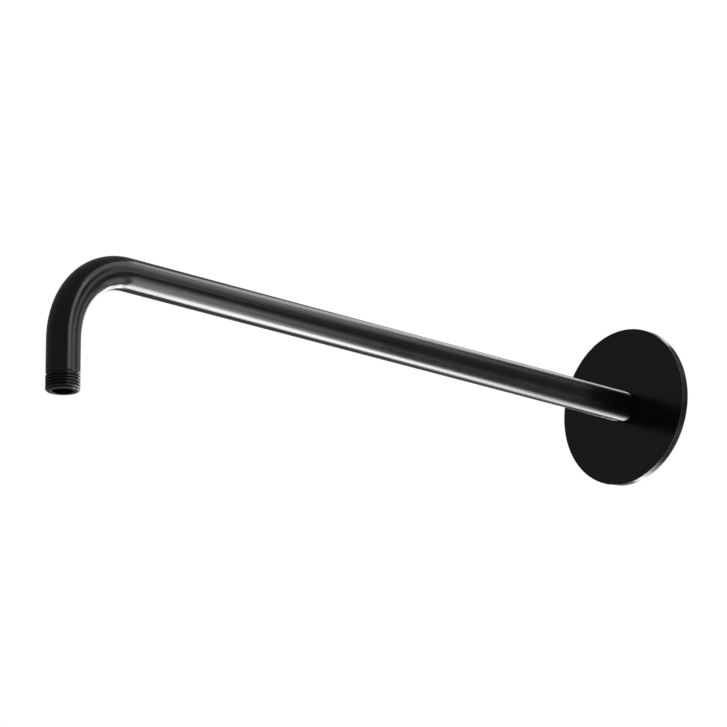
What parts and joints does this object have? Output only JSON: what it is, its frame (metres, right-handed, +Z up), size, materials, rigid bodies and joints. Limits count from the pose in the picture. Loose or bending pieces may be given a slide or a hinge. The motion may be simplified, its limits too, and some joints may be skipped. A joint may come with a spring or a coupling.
{
  "type": "shower arm",
  "caption": "Round-tube shower arm that runs level from the wall and bends down to a male pipe thread for a shower head, with a sliding round wall flange.",
  "frame": {"origin": "centre of the arm on the wall plane, which is the plane of the flange's back rim", "axes": "+Z up, +Y into the wall along the inlet thread, the arm leaves the wall along -Y and its outlet points along -Z"},
  "size_m": [0.104, 0.5285, 0.1325],
  "materials": {
    "black_coated_brass": "satin black coat on brass",
    "seal_rubber": "moulded black rubber"
  },
  "bodies": {
    "arm": {"arm_tube": "black_coated_brass", "outlet_nipple": "black_coated_brass", "inlet_nipple": "black_coated_brass"},
    "flange": {"wall_flange": "black_coated_brass", "flange_o_ring": "seal_rubber"}
  },
  "joints": [
    {"name": "flange_slide", "type": "slide", "parent": "arm", "child": "flange", "axis": [0, -1, 0], "range_m": [0, 0.44]}
  ]
}
